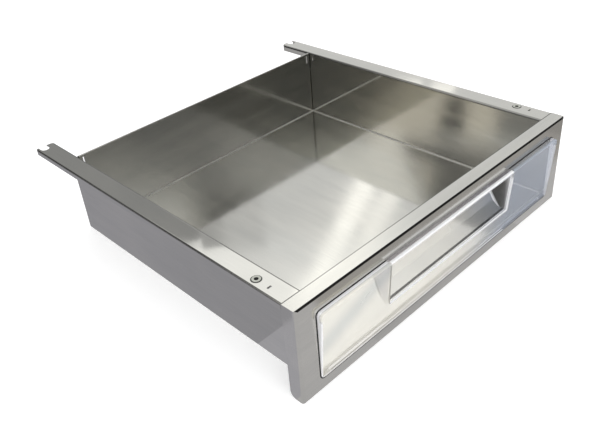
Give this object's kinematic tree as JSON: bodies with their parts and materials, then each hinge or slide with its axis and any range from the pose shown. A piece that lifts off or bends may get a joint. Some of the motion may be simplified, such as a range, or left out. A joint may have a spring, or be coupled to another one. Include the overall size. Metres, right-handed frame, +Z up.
{
  "type": "lift-out sheet-metal drawer",
  "caption": "Shallow folded stainless drawer with overhanging side rails, notched rear arms and a clear moulded front insert that forms a finger pull.",
  "frame": {"origin": "middle of the drawer's outline, on the plane of its underside", "axes": "+X to the right seen from the front, +Y towards the rear, +Z up; the front faces -Y"},
  "size_m": [0.5, 0.5178, 0.1256],
  "materials": {
    "fascia_steel": "fine satin, grain along the width",
    "panel_steel": "fine satin",
    "floor_steel": "fine satin",
    "fastener_steel": "plain",
    "clear_plastic": "clear polished moulding",
    "seal_rubber": "matt black",
    "bush_plastic": "black moulded"
  },
  "bodies": {
    "root": {"fascia_frame": "fascia_steel", "left_side_panel": "panel_steel", "right_side_panel": "panel_steel", "back_panel": "panel_steel", "floor_panel": "floor_steel", "front_floor_stiffener": "panel_steel", "rear_floor_stiffener": "panel_steel", "window_insert": "clear_plastic", "window_gasket": "seal_rubber", "lower_hook_strip": "panel_steel", "left_clamp_strip": "panel_steel", "right_clamp_strip": "panel_steel", "clamp_studs": "fastener_steel", "clamp_washers": "fastener_steel", "clamp_nuts": "fastener_steel", "left_rail_bush": "bush_plastic", "right_rail_bush": "bush_plastic"}
  },
  "joints": []
}
